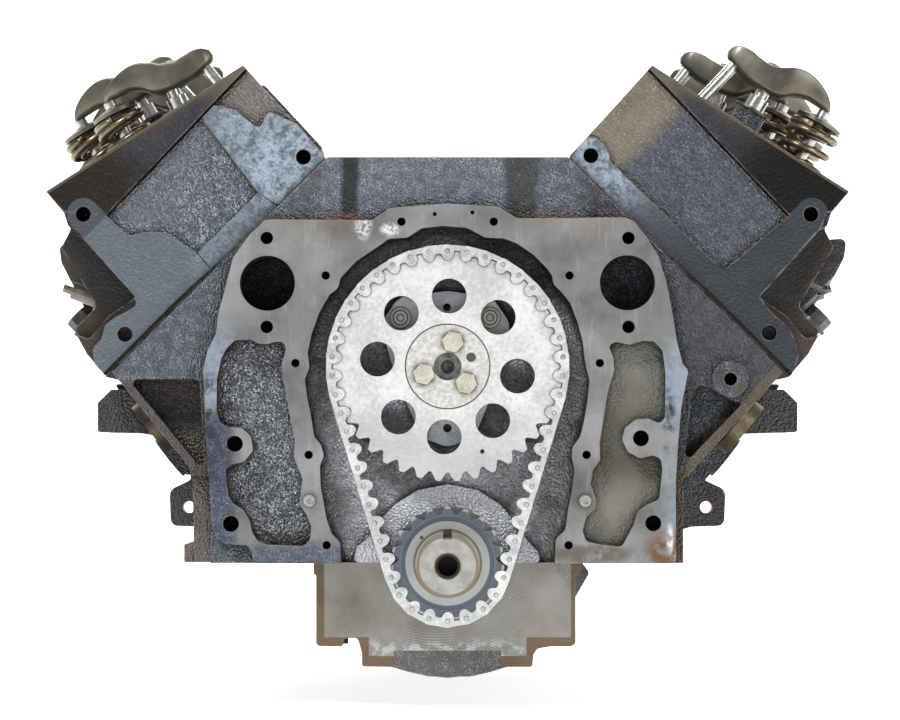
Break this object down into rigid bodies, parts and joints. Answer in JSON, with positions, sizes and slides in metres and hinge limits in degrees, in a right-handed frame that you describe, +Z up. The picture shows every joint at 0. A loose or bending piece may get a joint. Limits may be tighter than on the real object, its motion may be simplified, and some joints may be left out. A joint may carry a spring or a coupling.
{
  "type": "v8 engine long block",
  "caption": "Bare V-form engine long block: cast block, two heads, open timing drive, crankshaft, camshaft, pistons and overhead valve train.",
  "frame": {"origin": "on the crankshaft axis in the plane of the block's rear (bellhousing) face", "axes": "+X to the engine's left bank, +Y from the front (timing) end to the rear, +Z up"},
  "size_m": [0.5368, 0.651, 0.4501],
  "materials": {
    "block_iron": "cast, washed and oiled, with rust staining",
    "head_iron": "cast, washed, with machined worn pads",
    "cap_iron": "milled face, cast edges",
    "gasket": "composition sheet, matt",
    "black_bolts": "blackened steel",
    "bearing": "tin-plated shell",
    "dark_steel": "oiled steel",
    "pin_steel": "ground steel",
    "plug_brass": "pressed brass",
    "plug_steel": "zinc-plated shell with a ceramic nose",
    "bright_steel": "ground, bright",
    "cast_grey": "machined iron",
    "seal_rubber": "moulded rubber",
    "piston_aluminium": "machined aluminium",
    "forged_steel": "forged, shot-peened",
    "chain_silver": "bright stamped links",
    "spring_bronze": "oil-tempered wire, brown",
    "crank_steel": "ground journals, cast webs",
    "crank_sprocket_steel": "phosphated steel with bright tooth tips",
    "cam_steel": "ground lobes and journals",
    "sprocket_silver": "turned face, bright",
    "bolt_gold": "yellow zinc",
    "rocker_bronze": "stamped, hardened, brown oil film",
    "valve_steel": "ground stem",
    "retainer_steel": "oil-darkened steel"
  },
  "bodies": {
    "long_block": {"engine_block": "block_iron", "left_cylinder_head": "head_iron", "right_cylinder_head": "head_iron", "left_head_gasket": "gasket", "right_head_gasket": "gasket", "head_bolts": "black_bolts", "front_main_cap": "cap_iron", "inner_main_caps": "cap_iron", "rear_main_cap": "cap_iron", "main_cap_bolts": "black_bolts", "main_bearing_shells": "bearing", "cam_bearings": "bearing", "cam_thrust_plate": "dark_steel", "thrust_plate_screws": "dark_steel", "dowel_pins": "pin_steel", "core_plugs": "plug_brass", "oil_gallery_plugs": "dark_steel", "spark_plugs": "plug_steel", "rocker_bolts": "bright_steel", "rocker_fulcrum_balls": "bright_steel", "pushrod_guide_plates": "dark_steel", "spring_seats": "dark_steel", "valve_guides": "cast_grey", "rear_seal_housing": "dark_steel", "rear_main_seal": "seal_rubber", "pistons": "piston_aluminium", "piston_rings": "dark_steel", "piston_pins": "bright_steel", "connecting_rods": "forged_steel", "rod_caps": "forged_steel", "rod_bolts": "black_bolts", "rod_bearing_shells": "bearing", "chain_guide_plates": "chain_silver", "chain_toothed_links": "chain_silver", "chain_pins": "chain_silver", "left_valve_springs": "spring_bronze", "right_valve_springs": "spring_bronze"},
    "crank": {"crankshaft": "crank_steel", "crank_sprocket": "crank_sprocket_steel", "crank_key": "dark_steel"},
    "cam": {"camshaft": "cam_steel", "cam_sprocket": "sprocket_silver", "cam_sprocket_bolts": "bolt_gold", "cam_dowel_pin": "dark_steel"},
    "left_intake_lifters": {"left_intake_pushrods": "bright_steel"},
    "left_intake_rocker_arms": {"left_intake_rockers": "rocker_bronze"},
    "left_intake_valve_set": {"left_intake_valves": "valve_steel", "left_intake_retainers": "retainer_steel"},
    "left_exhaust_lifters": {"left_exhaust_pushrods": "bright_steel"},
    "left_exhaust_rocker_arms": {"left_exhaust_rockers": "rocker_bronze"},
    "left_exhaust_valve_set": {"left_exhaust_valves": "valve_steel", "left_exhaust_retainers": "retainer_steel"},
    "right_intake_lifters": {"right_intake_pushrods": "bright_steel"},
    "right_intake_rocker_arms": {"right_intake_rockers": "rocker_bronze"},
    "right_intake_valve_set": {"right_intake_valves": "valve_steel", "right_intake_retainers": "retainer_steel"},
    "right_exhaust_lifters": {"right_exhaust_pushrods": "bright_steel"},
    "right_exhaust_rocker_arms": {"right_exhaust_rockers": "rocker_bronze"},
    "right_exhaust_valve_set": {"right_exhaust_valves": "valve_steel", "right_exhaust_retainers": "retainer_steel"}
  },
  "joints": [
    {"name": "crank_spin", "type": "hinge", "parent": "long_block", "child": "crank", "pos_m": [0, -0.575, 0], "axis": [0, 1, 0], "continuous": true, "deforming": ["chain_guide_plates", "chain_toothed_links", "chain_pins", "pistons", "piston_rings", "piston_pins", "connecting_rods", "rod_caps", "rod_bolts", "rod_bearing_shells"]},
    {"name": "cam_spin", "type": "hinge", "parent": "long_block", "child": "cam", "pos_m": [0, -0.575, 0.13086], "axis": [0, 1, 0], "continuous": true},
    {"name": "left_intake_lift", "type": "slide", "parent": "long_block", "child": "left_intake_lifters", "axis": [0.626, 0, 0.7798], "range_m": [0, 0.0072], "stiffness_N_per_m": 4000, "springref_m": -0.02},
    {"name": "left_intake_rock", "type": "hinge", "parent": "long_block", "child": "left_intake_rocker_arms", "pos_m": [0.19275, -0.275, 0.33189], "axis": [0, 1, 0], "range_deg": [-0.05, 15.75]},
    {"name": "left_intake_valve_open", "type": "slide", "parent": "long_block", "child": "left_intake_valve_set", "axis": [-0.454, 0, -0.891], "range_m": [-0.00001, 0.01184], "deforming": ["left_valve_springs"]},
    {"name": "left_exhaust_lift", "type": "slide", "parent": "long_block", "child": "left_exhaust_lifters", "axis": [0.6867, 0, 0.727], "range_m": [0, 0.0072], "stiffness_N_per_m": 4000, "springref_m": -0.02},
    {"name": "left_exhaust_rock", "type": "hinge", "parent": "long_block", "child": "left_exhaust_rocker_arms", "pos_m": [0.22027, -0.275, 0.32792], "axis": [0, 1, 0], "range_deg": [-0.05, 15.96]},
    {"name": "left_exhaust_valve_open", "type": "slide", "parent": "long_block", "child": "left_exhaust_valve_set", "axis": [-0.5, 0, -0.866], "range_m": [-0.00001, 0.01202], "deforming": ["left_valve_springs"]},
    {"name": "right_intake_lift", "type": "slide", "parent": "long_block", "child": "right_intake_lifters", "axis": [-0.626, 0, 0.7798], "range_m": [0, 0.0072], "stiffness_N_per_m": 4000, "springref_m": -0.02},
    {"name": "right_intake_rock", "type": "hinge", "parent": "long_block", "child": "right_intake_rocker_arms", "pos_m": [-0.19275, -0.275, 0.33189], "axis": [0, -1, 0], "range_deg": [-0.05, 15.75]},
    {"name": "right_intake_valve_open", "type": "slide", "parent": "long_block", "child": "right_intake_valve_set", "axis": [0.454, 0, -0.891], "range_m": [-0.00001, 0.01184], "deforming": ["right_valve_springs"]},
    {"name": "right_exhaust_lift", "type": "slide", "parent": "long_block", "child": "right_exhaust_lifters", "axis": [-0.6867, 0, 0.727], "range_m": [0, 0.0072], "stiffness_N_per_m": 4000, "springref_m": -0.02},
    {"name": "right_exhaust_rock", "type": "hinge", "parent": "long_block", "child": "right_exhaust_rocker_arms", "pos_m": [-0.22027, -0.275, 0.32792], "axis": [0, -1, 0], "range_deg": [-0.05, 15.96]},
    {"name": "right_exhaust_valve_open", "type": "slide", "parent": "long_block", "child": "right_exhaust_valve_set", "axis": [0.5, 0, -0.866], "range_m": [-0.00001, 0.01202], "deforming": ["right_valve_springs"]}
  ],
  "couplings": [
    {"joint": "cam_spin", "follows": "crank_spin", "ratio": 0.5},
    {"joint": "left_intake_rock", "follows": "left_intake_lift", "rad_per_m": 37.928},
    {"joint": "left_intake_valve_open", "follows": "left_intake_lift", "ratio": 1.63},
    {"joint": "left_exhaust_rock", "follows": "left_exhaust_lift", "rad_per_m": 38.456},
    {"joint": "left_exhaust_valve_open", "follows": "left_exhaust_lift", "ratio": 1.655},
    {"joint": "right_intake_rock", "follows": "right_intake_lift", "rad_per_m": 37.928},
    {"joint": "right_intake_valve_open", "follows": "right_intake_lift", "ratio": 1.63},
    {"joint": "right_exhaust_rock", "follows": "right_exhaust_lift", "rad_per_m": 38.456},
    {"joint": "right_exhaust_valve_open", "follows": "right_exhaust_lift", "ratio": 1.655}
  ]
}
